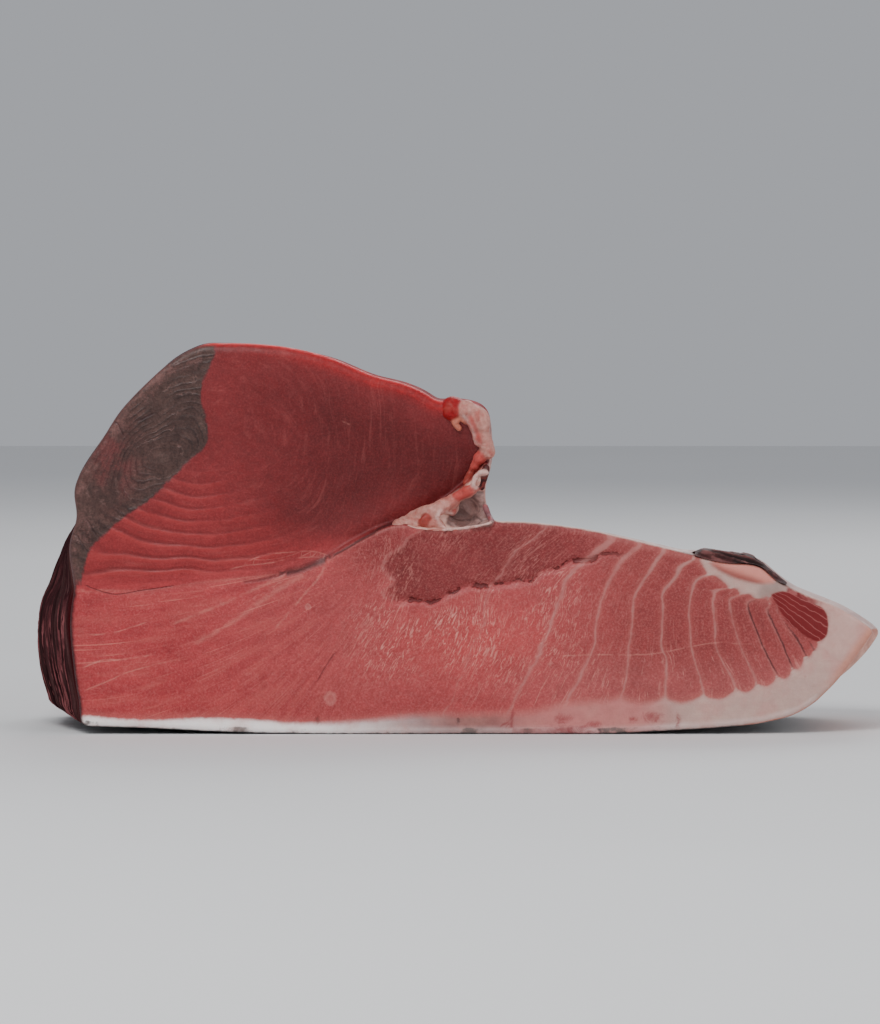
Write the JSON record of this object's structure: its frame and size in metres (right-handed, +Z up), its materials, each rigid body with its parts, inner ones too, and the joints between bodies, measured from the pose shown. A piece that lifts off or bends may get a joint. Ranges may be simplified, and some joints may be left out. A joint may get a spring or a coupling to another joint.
{
  "type": "raw tuna steak",
  "caption": "Thick slice of raw tuna belly, skin side down: deep red loin with a dark bloodline folded over a pink marbled belly with a white fat band.",
  "frame": {"origin": "bottom centre of the bounding box, on the surface that the skin side rests on", "axes": "+X along the cut face from the loin's outer side to the belly tip, +Y from the front cut face to the back one, +Z up"},
  "size_m": [0.3882, 0.11, 0.1781],
  "materials": {
    "flesh": "moist raw flesh, red to pink with white septa and fat, softly glossy",
    "tissue": "wet connective tissue and torn membrane, cream to pink"
  },
  "bodies": {
    "root": {"tuna_steak": "flesh"}
  },
  "joints": []
}
